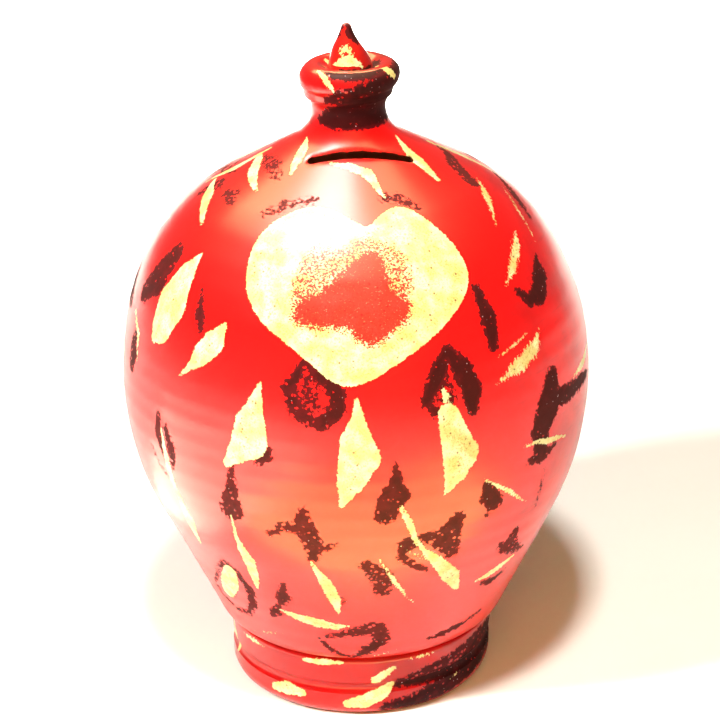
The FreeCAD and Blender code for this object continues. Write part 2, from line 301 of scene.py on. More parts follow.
GOLD_MARKS = [
    # shoulder
    (1.0, [(-64.7, 156, 0.4), (-56, 154.2, 1.5), (-50, 152, 1.3), (-45.4, 150, 0.4)]),
    (1.0, [(-98, 149.7, 0.6), (-86, 149.2, 1.7), (-75, 148, 1.7), (-56.6, 146, 0.3)]),
    (1.0, [(-95, 143, 0.6), (-82, 141.4, 1.9), (-67.6, 137.8, 0.4)]),
    (1.0, [(66, 155.4, 0.5), (57, 153.2, 1.2), (53.5, 150.6, 1.9), (51, 147.2, 0.6)]),
    (0.9, [(-20, 152.7, 0.5), (-3, 152.2, 1.5), (9, 150.9, 1.7), (14, 146.7, 0.5)]),
    (0.7, [(75.6, 144.1, 0.5), (66, 141.8, 1.6), (54.1, 136.5, 0.4)]),
    (0.6, [(83, 140, 0.5), (74, 136, 1.2), (68, 129, 0.4)]),
    # high belly
    (1.0, [(-57, 133, 0.5), (-58.5, 128, 3.6), (-59, 121, 6.2), (-60.5, 115, 4.6), (-62.5, 111.5, 1.5)]),
    (1.0, [(-38, 120.5, 0.8), (-40.5, 116, 3.3), (-44, 112, 2.7), (-46.5, 109, 1.0), (-50, 105.5, 0.2)]),
    (0.55, [(43.5, 125, 0.4), (50, 128, 1.9), (57, 131.5, 2.1), (62, 134, 0.7)]),
    (0.5, [(32, 104, 0.6), (40, 106.5, 2.8), (47, 109, 2.6), (50.5, 112.5, 0.6)]),
    (0.9, [(34, 110.3, 0.2), (40, 111.8, 0.6), (45.5, 113, 0.3)]),
    (0.8, [(-78, 113, 0.8), (-72, 109, 1.0), (-70, 102, 0.5)]),
    # belly petals
    (1.0, [(-26.3, 109, 0.3), (-27.3, 104, 1.9), (-28.5, 98, 4.2), (-28.8, 93.5, 5.0), (-32.5, 89, 2.6),
           (-35, 86, 1.1)]),
    (1.0, [(-3.2, 106, 0.4), (-3.0, 101, 1.7), (-3.5, 95, 4.2), (-3.0, 90.5, 5.3), (-5, 84, 3.6),
           (-7.5, 77, 0.5)]),
    (1.0, [(-1.5, 92.5, 2.6), (1.6, 90.2, 0.7)]),
    (1.0, [(18.4, 99.5, 2.9), (19.6, 94, 3.9), (21.2, 88, 5.1), (20, 83.5, 3.4), (17.4, 78, 0.5)]),
    (0.9, [(17.5, 107, 0.4), (18.3, 103.6, 1.2)]),
    (0.85, [(61, 95, 0.4), (70, 95.6, 1.3), (80, 97.5, 0.5)]),
    (1.0, [(39.5, 84.6, 0.3), (44, 84.2, 0.5), (48.5, 82.6, 0.9), (53, 81.6, 0.7), (58, 80, 0.3)]),
    (1.0, [(28, 79, 0.3), (36, 72.6, 0.7), (43, 66.5, 0.2)]),
    # low belly
    (1.0, [(6.4, 76, 0.4), (8.4, 71, 1.0), (10.4, 64.5, 0.6), (12.4, 61, 0.7), (17.5, 55, 1.9),
           (22.5, 48.5, 2.5), (26, 43, 0.8)]),
    (0.8, [(5.5, 64, 0.2), (10, 60, 0.5), (14.5, 56, 0.2)]),
    (0.9, [(1, 59.5, 0.3), (5.5, 50, 0.8), (9, 44.5, 0.5), (13, 40, 0.2)]),
    (1.0, [(-16.6, 58, 0.3), (-13.8, 50.5, 1.7), (-12, 44, 1.7), (-11.2, 38.5, 0.3)]),
    (1.0, [(-36, 70, 0.2), (-36.2, 62, 0.7), (-35.2, 55, 1.9), (-36, 48.5, 1.4), (-37, 43.5, 0.3)]),
    (1.0, [(-56.4, 89, 0.3), (-55.4, 81, 1.0), (-54.6, 72, 1.1), (-52.6, 63, 1.9), (-53.6, 54, 0.4)]),
    (1.0, [(-45.5, 47.5, 2.0), (-49, 42, 3.2), (-54, 36.5, 2.3)]),
    (0.8, [(-31.5, 37, 0.5), (-26, 35.4, 1.6), (-19, 34, 2.3), (-13, 33, 1.7), (-8, 33.6, 0.4)]),
    (1.0, [(33, 43, 0.3), (38, 43.6, 1.3), (43, 45, 1.3), (48, 46.4, 0.3)]),
    (0.7, [(66, 60, 0.3), (74, 64, 1.3), (84, 67, 0.3)]),
    # heel
    (0.7, [(-4, 19.6, 0.3), (4, 21, 0.6), (10, 22.6, 0.2)]),
    (0.6, [(-50, 23.4, 0.3), (-40, 25.4, 0.7), (-33, 27.4, 0.2)]),
    # foot
    (0.9, [(-29, 16.7, 0.7), (-20, 17.0, 1.2), (-12, 17.3, 0.5)]),
    (0.8, [(-66, 16.4, 0.5), (-58, 16.7, 0.9), (-50, 16.3, 0.4)]),
    (0.9, [(-82, 15.8, 1.0), (-80, 11.4, 1.6), (-77, 7.5, 0.8)]),
    (0.7, [(16, 17.0, 0.4), (22, 16.9, 0.8), (28, 17.2, 0.4)]),
    (1.0, [(-45, 5.2, 1.2), (-38, 6.1, 2.1), (-30, 5.9, 1.0)]),
    (1.0, [(-10, 4.2, 1.2), (-3, 5.0, 2.2), (5, 7.2, 1.8), (9, 9.6, 1.0)]),
    (0.9, [(2, 11.6, 1.4), (6, 13.4, 1.3), (10, 15.0, 0.6)]),
    (0.7, [(38, 6.0, 0.3), (42, 7.0, 0.5), (45, 7.2, 0.2)]),
    # knob
    (0.9, [(-52, 174.4, 0.7), (-38, 173.6, 1.0), (-25, 171.4, 0.7), (-20, 169.8, 0.3)]),
    (0.9, [(42, 174.6, 0.8), (53, 173.8, 1.5), (58, 172.2, 0.9)]),
]

BLACK_MARKS = [
    # shoulder
    (0.45, [(-42, 143.2, 1.2), (-34, 145.4, 2.2), (-22, 146.6, 1.4)]),
    (0.5, [(14, 146.6, 1.6), (20, 146.4, 2.0), (27, 144.4, 1.0)]),
    (0.6, [(-73, 143.6, 1.6), (-68, 143.9, 2.4), (-63, 143.0, 1.2)]),
    (0.45, [(-84, 150.4, 1.8), (-66, 150.3, 2.4), (-52, 148.8, 1.2)]),
    (0.7, [(-112, 147, 0.6), (-99, 144, 0.9), (-90, 146, 0.6)]),
    (0.8, [(94, 149, 1.4), (76, 147.2, 2.3), (68, 144.2, 1.8)]),
    (0.8, [(96, 141, 0.8), (84, 137.5, 1.6), (78, 133.3, 1.0)]),
    # high belly
    (0.9, [(-69, 130.5, 3.0), (-70.5, 124, 5.0), (-75, 119, 2.8)]),
    (0.9, [(-49, 126.5, 0.3), (-46.5, 120.5, 1.5), (-45.2, 118, 0.7)]),
    (0.85, [(-74, 108, 1.3), (-73.5, 103.5, 3.0), (-74, 99, 1.5)]),
    (1.0, [(33.6, 127, 1.0), (34.4, 120, 2.5), (33.6, 113, 1.2)]),
    (1.0, [(47.5, 123, 0.7), (51, 119.6, 1.6), (56, 120, 3.0), (60.5, 123.5, 2.9), (63, 127, 0.8)]),
    # under the heart
    (0.8, [(-15.5, 114.5, 0.7), (-19, 108.5, 2.0), (-17.5, 102.5, 1.6), (-12, 99.3, 1.5), (-8.5, 103, 2.2)]),
    (0.9, [(-11, 99.4, 1.2), (-8, 103, 2.3), (-7.5, 107, 2.1), (-11, 111, 1.8), (-15.5, 114.5, 0.8)]),
    (0.45, [(-14.5, 111, 1.6), (-14.5, 105, 3.4)]),
    (0.5, [(18.5, 110, 1.6), (18.5, 104, 2.6)]),
    (1.0, [(20.5, 115.2, 1.2), (23.5, 110, 2.9), (25.2, 104, 2.8), (24.8, 99.4, 1.5)]),
    (1.0, [(20.5, 115, 1.2), (16.6, 109.5, 2.2), (13.6, 104.5, 1.5)]),
    (0.8, [(13, 103.5, 1.3), (15.5, 100.3, 1.1), (17.5, 99.4, 0.6)]),
    (1.0, [(51.5, 99, 2.9), (49, 92.5, 5.0), (45.5, 87, 3.6), (46.5, 80, 2.6)]),
    (1.0, [(50, 94, 2.6), (58, 92.2, 2.4), (68, 91.6, 1.9), (74, 91, 0.7)]),
    (0.8, [(42, 79.5, 1.1), (47, 78.6, 1.7), (52, 80, 0.8)]),
    # round the petals
    (0.9, [(-26.8, 88.2, 1.0), (-24.8, 90, 1.6), (-23.8, 92, 0.6)]),
    (0.85, [(-33.4, 86.5, 0.3), (-34.4, 79, 1.7), (-35.4, 72, 3.4)]),
    (0.85, [(-57.5, 92.5, 0.8), (-58, 87, 1.5), (-56.5, 82, 0.7)]),
    (0.85, [(-54.6, 90, 0.8), (-53, 84.5, 1.8), (-53, 79, 0.6)]),
    (0.6, [(-62, 82, 0.4), (-59, 77, 0.5), (-55, 74, 0.4)]),
    (0.8, [(-16.4, 76, 0.7), (-17, 70.5, 2.9), (-15.2, 65, 2.7), (-15.8, 59.5, 1.5)]),
    (0.7, [(-26, 66.5, 0.8), (-22, 69.5, 1.5), (-17, 70, 1.8)]),
    (0.7, [(-9.5, 64.5, 0.6), (-13, 63.5, 1.4)]),
    (0.85, [(5.4, 88.5, 0.3), (5.2, 83.5, 1.7), (4.7, 79, 3.7), (2.8, 74, 2.9)]),
    (0.95, [(5.4, 83, 1.4), (6.6, 79, 2.2)]),
    (0.8, [(21, 69, 2.2), (18.5, 63.5, 4.2), (20.3, 58.5, 2.5)]),
    (0.75, [(14, 65, 1.8), (8, 63.5, 2.0), (6.8, 59.5, 1.2), (10.5, 55.4, 1.2), (14, 53.2, 0.8)]),
    (1.0, [(28.2, 78, 0.7), (29.6, 74.5, 2.5), (31, 71.5, 2.4)]),
    (0.8, [(28.5, 73, 1.6), (32.5, 70.8, 1.8), (29.4, 67.6, 0.6)]),
    (0.5, [(48.5, 74, 0.4), (48.3, 68, 0.5), (48.6, 62, 0.3)]),
    # low belly
    (0.7, [(-2.2, 57, 1.8), (1.4, 53, 3.0), (2.4, 47, 2.2)]),
    (0.8, [(42.5, 57.4, 1.2), (41.6, 53.5, 2.4), (44.5, 50.4, 2.4)]),
    (0.7, [(37, 55, 0.7), (40, 52, 1.6), (46, 49.6, 1.9), (51, 47.6, 0.8)]),
    (0.95, [(36, 41.4, 0.3), (41, 40.0, 1.4), (46.4, 41.8, 0.4)]),
    (0.85, [(-26.8, 48, 0.4), (-28.2, 43, 1.9), (-29.6, 40.3, 1.4)]),
    (0.85, [(-31, 39, 0.6), (-33.4, 35.5, 1.6), (-35, 33.8, 0.7)]),
    (0.8, [(-46, 50.8, 0.7), (-42.6, 47.6, 0.9), (-40.8, 42, 1.5), (-42.5, 35.5, 1.4), (-47, 31, 0.9),
           (-54, 30, 0.6)]),
    (0.7, [(-54, 30, 0.5), (-60.5, 33, 0.6), (-60, 37.5, 0.5), (-53, 44.5, 0.6), (-46, 50.8, 0.7)]),
    (0.6, [(-10, 45.5, 0.5), (-9.6, 42.5, 0.6)]),
    # heel
    (0.7, [(-17, 28.4, 0.6), (-9, 30.3, 1.5), (0.5, 32.6, 2.7), (3, 27.5, 2.4)]),
    (0.9, [(2.4, 26.6, 2.0), (-2, 23.0, 1.3), (-8, 20.2, 0.7), (-14.5, 22.4, 0.7), (-19, 27, 0.5)]),
    (1.0, [(-1.2, 24.4, 1.7), (-0.4, 24.0, 1.6)]),
    (0.9, [(21.5, 24.8, 0.4), (29, 25.3, 1.3), (36, 26.2, 0.8), (44, 28.4, 0.3)]),
    # foot: black sponge, with painted shade on the right side, where the foot faces the pot's shadow on the
    # table, and along its groove
    (0.9, [(7, 2.6, 1.6), (22, 3.4, 2.6), (36, 5.4, 3.6), (50, 8.0, 5.0), (66, 10.5, 6.0), (82, 8.5, 4.0),
           (94, 6, 2.0)]),
    (0.7, [(12, 10.0, 1.2), (26, 11.8, 1.8), (42, 13.0, 2.0), (58, 14.6, 2.4)]),
    (1.0, [(12, 9.0, 0.8), (30, 9.0, 1.5), (60, 9.0, 1.8), (84, 9.0, 1.2)]),
    # knob
    (1.0, [(-48, 161.2, 1.4), (-26, 162.4, 3.2), (0, 163.4, 4.2), (30, 164.4, 5.2), (70, 165, 5.6)]),
    (1.0, [(70, 165, 5.6), (110, 164.6, 5.0), (140, 163.5, 3.0)]),
    (0.8, [(-30, 167.5, 1.2), (-10, 168.6, 2.6), (14, 169.2, 3.4)]),
    (1.0, [(14, 170.6, 1.6), (36, 170.4, 3.6), (62, 170.4, 4.6), (92, 170.6, 4.4), (116, 169, 3.4)]),
    # painted shade: a black band on the dish's lip, partly black paint, darkening the crease round the
    # finial's foot
    (1.0, [(-30, 174.4, 1.6), (-6, 174.4, 1.9), (20, 174.4, 1.9), (40, 174.4, 1.2)]),
]

FINIAL_GOLD = [
    (0.8, [(-52, 174.6, 1.1), (-24, 175.4, 1.7), (-4, 176.0, 2.1), (14, 175.2, 1.6), (32, 174.4, 0.8)]),
    # painted highlight: pale gold dabs up the finial's left-of-centre ridge, partly gold sponge, standing in
    # for its pinkish sheen
    (0.6, [(-24, 178.4, 1.4), (-8, 179.4, 1.3), (4, 178.0, 1.2)]),
    (0.8, [(150, 175.5, 1.2), (180, 176, 1.6), (215, 175, 1.0)]),
]
FINIAL_BLACK = [
    (1.0, [(30, 184.4, 0.8), (44, 182.8, 1.5), (66, 181.0, 1.3)]),
    # painted shade: a black band round the finial's foot, partly black paint, darkening the crease where it
    # meets the dish
    (0.9, [(-30, 173.4, 0.6), (0, 173.4, 0.7), (30, 173.4, 0.8), (60, 174.0, 1.0)]),
    (0.75, [(-80, 182.4, 1.1), (-62, 184.2, 0.7)]),
]

HEART = [
    (3.0, 142.4), (9, 144.0), (17, 145.0), (24, 144.0), (29.5, 140.6), (32.6, 136.4), (33.2, 131.6),
    (30.5, 127.2), (24.5, 122.8), (16.5, 118.3), (7.5, 113.8), (0.8, 110.4), (-4.6, 109.0), (-9.2, 110.6),
    (-13.5, 114.0), (-19.5, 118.4), (-27.5, 123.0), (-33.6, 128.0), (-37.2, 133.4), (-38.4, 138.4),
    (-36, 142.0), (-29, 144.6), (-20, 145.6), (-10, 145.0), (-3, 143.6),
]
# the red dabbed inside the heart: where it is dense, and the thin scatter above it
BLUSH_CORE = [
    (-19, 123.6), (-18.6, 128.6), (-13, 130.4), (-8, 133.8), (-1.5, 137.4), (5.5, 138.0), (8, 134.6),
    (9, 130.6), (13, 127.0), (11.4, 123.4), (6.6, 120.6), (2, 118.2), (-2, 119.6), (-5, 122.2), (-12, 122.4),
]
BLUSH_SCATTER = [
    (-21, 127), (-21, 135.4), (-17, 139.8), (-8, 139.4), (0, 141.0), (8, 139.6), (15, 136.4), (14.6, 129.4),
    (8, 121.5), (-10, 121.6),
]


def petal(azimuth, low, high, width, lean):
    """A gold mark with a pointed top, widest a little below its middle."""
    rise = high - low
    return (1.0, [
        (azimuth - lean, low, 0.6),
        (azimuth - lean * 0.4, low + rise * 0.22, width * 0.74),
        (azimuth, low + rise * 0.42, width),
        (azimuth + lean * 0.5, low + rise * 0.74, width * 0.42),
        (azimuth + lean, high, 0.4),
    ])


def sponge(azimuth, height, size, strength):
    """A loose three-cornered dab of the black sponge."""
    return [
        (strength, [
            (azimuth, height + size * 1.7, 0.5),
            (azimuth, height, size),
            (azimuth - 2, height - size, size * 0.7),
        ]),
        (strength * 0.85, [(azimuth + 5, height - size * 0.8, size * 0.5), (azimuth, height, size * 0.8)]),
    ]


def stroke(azimuth, strength, steps):
    """A mark whose steps are (degrees past an azimuth, height, half width)."""
    return strength, [(azimuth + turn, height, half) for turn, height, half in steps]


BACK_ROWS = 9
BACK_START = 96
BACK_STEP = 20.5


def back_marks():
    """Rows of petals and dabs like those in front, carried round the sides and the back."""
    chance = random.Random(11)
    gold, black = [], []
    for i in range(BACK_ROWS):
        azimuth = BACK_START + i * BACK_STEP
        shift = chance.uniform(-3, 3)
        top = chance.uniform(128, 134)
        gold.append(petal(azimuth + shift, top - 22, top, chance.uniform(3.4, 5.6), chance.uniform(-3, 4)))
        black += sponge(azimuth + 10 + shift, chance.uniform(115, 120), chance.uniform(2.6, 4.2), 0.95)
        low = chance.uniform(78, 83)
        gold.append(petal(azimuth + 10, low, low + 24, chance.uniform(3.6, 5.2), chance.uniform(-4, 3)))
        for past, heights, sizes, strengths in (
            (1, (93, 99), (2.4, 4.4), (0.8, 1.0)),
            (6, (66, 72), (2.6, 3.8), (0.7, 0.85)),
        ):
            black += sponge(
                azimuth + past, chance.uniform(*heights), chance.uniform(*sizes), chance.uniform(*strengths)
            )
        lean = chance.uniform(-3, 4)
        gold.append(petal(azimuth + 4, 38, 60 + lean, chance.uniform(1.4, 2.4), lean))
        gold.append(petal(azimuth + 13, 46, 70 - lean, chance.uniform(0.7, 1.6), -lean))
        black += sponge(azimuth + 14, chance.uniform(38, 46), chance.uniform(1.8, 2.8), 0.75)
        if i % 2 == 0:
            black += sponge(azimuth, 26, 2.4, 0.8)
            gold.append(stroke(azimuth, 0.8, [(6, 29, 0.3), (14, 30.5, 1.6), (24, 29.5, 0.4)]))
        gold.append(stroke(azimuth, 0.9, [(0, 141, 0.4), (4, 146, 1.7), (2, 151, 0.8)]))
        black.append(stroke(azimuth, 0.6, [(9, 140.5, 1.4), (13, 143.5, 2.3), (18, 143.5, 0.9)]))
        gold.append(stroke(azimuth, 0.9, [(0, 5.0, 0.8), (5, 6.2, 1.8), (11, 5.4, 0.8)]))
        if i % 3:
            gold.append(stroke(azimuth, 0.8, [(8, 15.6, 0.5), (14, 16.2, 1.2), (19, 15.8, 0.4)]))
    black.append((0.8, [(120, 168, 2.0), (165, 166, 2.6), (205, 168.5, 2.2)]))
    gold.append((0.9, [(128, 172.4, 1.0), (146, 173.8, 1.5), (160, 172.6, 0.6)]))
    gold.append((0.9, [(222, 171.8, 1.0), (236, 173.6, 1.4), (250, 172.6, 0.6)]))
    return gold, black


def on_wall(azimuth, height, middle):
    """Flattens places on the pot: mm round it from a middle azimuth, and mm along its outline."""
    radius = np.interp(height, OUTSIDE_HEIGHTS, OUTSIDE_RADII)
    turn = (np.asarray(azimuth, float) - middle + 180) % 360 - 180
    return np.radians(turn) * radius, np.interp(height, OUTSIDE_HEIGHTS, OUTSIDE_RUN)


def depth_in_mark(mark, azimuth, height):
    """How far each place lies inside a mark, in mm. Outside it is negative."""
    middle = mark[len(mark) // 2][0]
    across, up = on_wall(azimuth, height, middle)
    best = np.full(len(azimuth), -9.0)
    for (a0, h0, w0), (a1, h1, w1) in zip(mark, mark[1:]):
        x0, y0 = on_wall(a0, h0, middle)
        x1, y1 = on_wall(a1, h1, middle)
        dx, dy = x1 - x0, y1 - y0
        share = np.clip(((across - x0) * dx + (up - y0) * dy) / max(dx * dx + dy * dy, 1e-6), 0, 1)
        gap = np.hypot(across - x0 - share * dx, up - y0 - share * dy)
        best = np.maximum(best, w0 + (w1 - w0) * share - gap)
    return best


def depth_in_outline(outline, azimuth, height):
    """The same for a closed outline of (azimuth, height) points, rounded between them."""
    count = len(outline)
    ring = []
    for i in range(count):
        a, b, c, d = (np.array(outline[(i + k) % count], float) for k in (-1, 0, 1, 2))
        for t in (0, 0.25, 0.5, 0.75):
            ring.append(0.5 * (2 * b + (c - a) * t + (2 * a - 5 * b + 4 * c - d) * t**2
                               + (3 * b - a - 3 * c + d) * t**3))
    across, up = on_wall(azimuth, height, 0)
    xs, ys = on_wall(*np.array(ring).T, 0)
    nearest = np.full(len(azimuth), 99.0)
    inside = np.zeros(len(azimuth), bool)
    for x0, y0, x1, y1 in zip(xs, ys, np.roll(xs, -1), np.roll(ys, -1)):
        dx, dy = x1 - x0, y1 - y0
        share = np.clip(((across - x0) * dx + (up - y0) * dy) / (dx * dx + dy * dy), 0, 1)
        nearest = np.minimum(nearest, np.hypot(across - x0 - share * dx, up - y0 - share * dy))
        spans = (y0 > up) != (y1 > up)
        inside ^= spans & (across < x0 + (up - y0) * dx / (dy if abs(dy) > 1e-9 else 1e-9))
    return np.where(inside, nearest, -nearest)


MARK_REACH = 12


def near(mark, height):
    """Which places are close enough to a mark in height to matter."""
    heights = [m[1] for m in mark]
    return np.flatnonzero((height > min(heights) - MARK_REACH) & (height < max(heights) + MARK_REACH))


# what a sponged mark has of its strength right at its edge
SPREAD = 0.5


def cover_of(marks, azimuth, height, edge):
    """How solid a sponged colour is at each place: half strength at a mark's edge, full well inside."""
    best = np.full(len(azimuth), -1.0)
    for strength, mark in marks:
        pick = near(mark, height)
        depth = depth_in_mark(mark, azimuth[pick], height[pick])
        best[pick] = np.maximum(best[pick], np.clip(depth / edge + SPREAD, -1, 1) * strength)
    return best


def brushed(marks, azimuth, height):
    """The depth in the nearest brushed mark, and that mark's strength."""
    best = np.full(len(azimuth), -3.0)
    body = np.ones(len(azimuth))
    for strength, mark in marks:
        pick = near(mark, height)
        depth = depth_in_mark(mark, azimuth[pick], height[pick])
        closer = depth > best[pick]
        best[pick[closer]] = depth[closer]
        body[pick[closer]] = strength
    return best, body


def store(obj, name, values):
    """Keeps one number for each vertex, for the materials to read."""
    layer = obj.data.attributes.new(name, "FLOAT", "POINT")
    layer.data.foreach_set("value", np.asarray(values, np.float32))


def skin_depth(height, radius):
    """How far below the painted outside a place lies, in mm."""
    slope = np.gradient(OUTSIDE_RADII, OUTSIDE_RUN)
    outer = np.interp(height, OUTSIDE_HEIGHTS, OUTSIDE_RADII)
    square = np.sqrt(np.clip(1 - np.interp(height, OUTSIDE_HEIGHTS, slope) ** 2, 0.05, 1))
    return (outer - radius) * square


BLACK_EDGE = 1.5
HEART_LOW, HEART_HIGH = 89, 158
FAR_OUTSIDE = -3


def paint(obj, gold_marks, black_marks, all_over=False):
    """Stores where the gold, the black and the heart lie on a piece, and where its clay is bare."""
    azimuth, height, radius = places(obj)
    gold, body = brushed(gold_marks, azimuth, height)
    heart = depth_in_outline(HEART, azimuth, height)
    front = (np.abs(azimuth) < 90) & (height > HEART_LOW) & (height < HEART_HIGH)
    heart = np.where(front, np.clip(heart, FAR_OUTSIDE, 3), FAR_OUTSIDE)
    bare = np.zeros(len(height)) if all_over else np.clip(skin_depth(height, radius), 0, 8)
    store(obj, "gold", np.clip(gold, FAR_OUTSIDE, 3))
    store(obj, "gold_body", body)
    store(obj, "heart", heart)
    store(obj, "black", cover_of(black_marks, azimuth, height, BLACK_EDGE))
    dense = np.clip(depth_in_outline(BLUSH_CORE, azimuth, height) / 3.0 + 0.40, -1, 0.92)
    scatter = np.clip(depth_in_outline(BLUSH_SCATTER, azimuth, height) / 3.5 + 0.1, -1, 0.50)
    store(obj, "blush", np.where(front, np.maximum(dense, scatter), -1))
    store(obj, "bare", bare)


# ---------------------------------------------------------------- materials


def colour(red, green, blue):
    """A colour given as it looks on a screen, 0 to 255."""
    linear = [((c / 255 + 0.055) / 1.055) ** 2.4 if c > 10 else c / 255 / 12.92 for c in (red, green, blue)]
    return (*linear, 1.0)


# sockets of a mix node that mixes colours, and of one that mixes numbers
COLOUR_FIRST, COLOUR_SECOND, COLOUR_RESULT = 6, 7, 2
NUMBER_SHARE, NUMBER_FIRST, NUMBER_SECOND, NUMBER_RESULT = 0, 2, 3, 0
VARNISH_IOR = 1.36


class Nodes:
    """A material's node tree, with a short call for each kind of node used here."""

    def __init__(self, name):
        self.material = bpy.data.materials.new(name)
        self.material.use_nodes = True
        self.tree = self.material.node_tree
        self.tree.nodes.clear()
        self.output = self.tree.nodes.new("ShaderNodeOutputMaterial")
        self.place = self.tree.nodes.new("ShaderNodeTexCoord").outputs["Object"]

    def put(self, socket, given):
        if isinstance(given, bpy.types.NodeSocket):
            self.tree.links.new(given, socket)
        else:
            socket.default_value = given

    def stored(self, name):
        node = self.tree.nodes.new("ShaderNodeAttribute")
        node.attribute_name = name
        return node.outputs["Fac"]

    def noise(self, size, detail=2.0, rough=0.5, stretch=(1, 1, 1)):
        """Noise whose features are about size mm across."""
        scaled = self.tree.nodes.new("ShaderNodeMapping")
        self.put(scaled.inputs["Vector"], self.place)
        scaled.inputs["Scale"].default_value = [s / (size * MM) for s in stretch]
        node = self.tree.nodes.new("ShaderNodeTexNoise")
        self.put(node.inputs["Vector"], scaled.outputs["Vector"])
        node.inputs["Scale"].default_value = 1.0
        node.inputs["Detail"].default_value = detail
        node.inputs["Roughness"].default_value = rough
        return node.outputs["Fac"]

    def cells(self, size):
        """Distance to the nearest of many dots, about size mm apart."""
        scaled = self.tree.nodes.new("ShaderNodeMapping")
        self.put(scaled.inputs["Vector"], self.place)
        scaled.inputs["Scale"].default_value = [1 / (size * MM)] * 3
        node = self.tree.nodes.new("ShaderNodeTexVoronoi")
        self.put(node.inputs["Vector"], scaled.outputs["Vector"])
        node.inputs["Scale"].default_value = 1.0
        return node.outputs["Distance"]

    def math(self, operation, first, second):
        node = self.tree.nodes.new("ShaderNodeMath")
        node.operation = operation
        for socket, given in zip(node.inputs, (first, second)):
            self.put(socket, given)
        return node.outputs[0]

    def step(self, given, low, high):
        """0 below low, 1 above high, and smooth between."""
        node = self.tree.nodes.new("ShaderNodeMapRange")
        node.interpolation_type = "SMOOTHSTEP"
        self.put(node.inputs["Value"], given)
        node.inputs["From Min"].default_value = low
        node.inputs["From Max"].default_value = high
        return node.outputs["Result"]

    def mix(self, share, first, second):
        node = self.tree.nodes.new("ShaderNodeMix")
        node.data_type = "RGBA"
        self.put(node.inputs["Factor"], share)
        self.put(node.inputs[COLOUR_FIRST], first)
        self.put(node.inputs[COLOUR_SECOND], second)
        return node.outputs[COLOUR_RESULT]

    def bump(self, height, depth_mm, strength, under=None):
        node = self.tree.nodes.new("ShaderNodeBump")
        node.inputs["Distance"].default_value = depth_mm * MM
        node.inputs["Strength"].default_value = strength
        self.put(node.inputs["Height"], height)
        if under is not None:
            self.put(node.inputs["Normal"], under)
        return node.outputs["Normal"]

    def surface(self, base, rough, normal, coat=0.0, coat_rough=0.1, specular=0.5):
        shader = self.tree.nodes.new("ShaderNodeBsdfPrincipled")
        self.put(shader.inputs["Base Color"], base)
        self.put(shader.inputs["Roughness"], rough)
        self.put(shader.inputs["Normal"], normal)
        self.put(shader.inputs["Coat Weight"], coat)
        shader.inputs["Coat Roughness"].default_value = coat_rough
        shader.inputs["Coat IOR"].default_value = VARNISH_IOR
        shader.inputs["Specular IOR Level"].default_value = specular
        self.tree.links.new(shader.outputs["BSDF"], self.output.inputs["Surface"])
        return self.material


RED = colour(226, 10, 8)
DEEP_RED = colour(150, 6, 8)
GOLD = colour(214, 190, 108)
PALE_GOLD = colour(234, 222, 162)
OCHRE = colour(168, 122, 40)
SPECK = colour(96, 52, 22)
BLACK = colour(8, 4, 5)
MAROON = colour(54, 4, 9)
# painted highlight colour: the pale pink glints of light on the black sponge
PAINTED_GLINT = colour(236, 190, 190)
BLUSH = colour(188, 8, 10)
CLAY = colour(168, 92, 58)
DARK_CLAY = colour(96, 46, 28)
CLAY_GRIT = colour(214, 170, 128)


